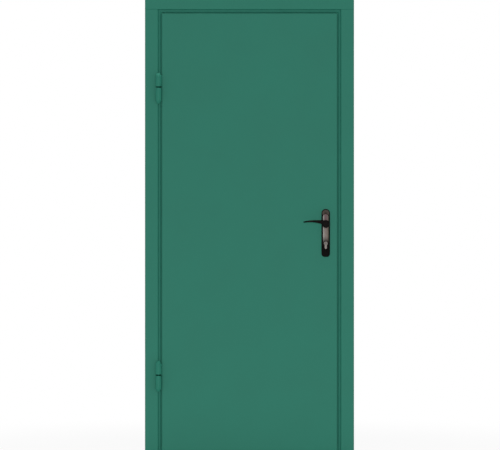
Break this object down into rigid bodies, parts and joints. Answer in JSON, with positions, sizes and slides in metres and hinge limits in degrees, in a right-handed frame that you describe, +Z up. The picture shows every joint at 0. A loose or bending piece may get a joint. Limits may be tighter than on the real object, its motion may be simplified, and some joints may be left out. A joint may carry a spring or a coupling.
{
  "type": "steel entrance door in its frame",
  "caption": "Plain steel entrance door: rebated leaf on barrel hinges in a bent steel frame with casing, with a lever handle on a long plate and a key cylinder.",
  "frame": {"origin": "on the floor under the threshold, midway between the jambs, in the plane of the wall face that the casing covers", "axes": "+Z up, +X from the hinge side to the latch side as seen from outdoors, +Y from outdoors into the room"},
  "size_m": [0.96, 0.178, 2.1],
  "materials": {
    "green_powder_coat": "satin",
    "dark_bronze": "satin",
    "bright_steel": "satin",
    "plated_steel": "satin",
    "dark_steel": "satin",
    "black_rubber": "matte"
  },
  "bodies": {
    "frame": {"hinge_jamb": "green_powder_coat", "latch_jamb": "green_powder_coat", "frame_head": "green_powder_coat", "threshold": "green_powder_coat", "hinge_jamb_seal": "black_rubber", "latch_jamb_seal": "black_rubber", "head_seal": "black_rubber", "upper_hinge_frame_barrel": "green_powder_coat", "lower_hinge_frame_barrel": "green_powder_coat", "upper_hinge_bearing": "dark_steel", "lower_hinge_bearing": "dark_steel", "strike_plate": "plated_steel"},
    "leaf": {"leaf_front_pan": "green_powder_coat", "leaf_back_pan": "green_powder_coat", "upper_hinge_leaf_barrel": "green_powder_coat", "lower_hinge_leaf_barrel": "green_powder_coat", "lock_case": "dark_steel", "lock_faceplate": "plated_steel", "latch_bolt": "plated_steel", "dead_bolts": "plated_steel", "cylinder_body": "bright_steel", "outer_cylinder_plug": "bright_steel", "inner_cylinder_plug": "bright_steel", "outer_backplate": "dark_bronze", "inner_backplate": "dark_bronze", "dog_bolts": "plated_steel"},
    "lever": {"outer_lever": "dark_bronze", "inner_lever": "dark_bronze", "spindle": "plated_steel"}
  },
  "joints": [
    {"name": "leaf_swing", "type": "hinge", "parent": "frame", "child": "leaf", "pos_m": [-0.418, -0.031, 1], "axis": [0, 0, -1], "range_deg": [0, 120]},
    {"name": "lever_turn", "type": "hinge", "parent": "leaf", "child": "lever", "pos_m": [0.35, -0.02, 1.0545], "axis": [0, -1, 0], "range_deg": [0, 45], "stiffness_Nm_per_rad": 1.2, "springref_deg": -22.92}
  ]
}
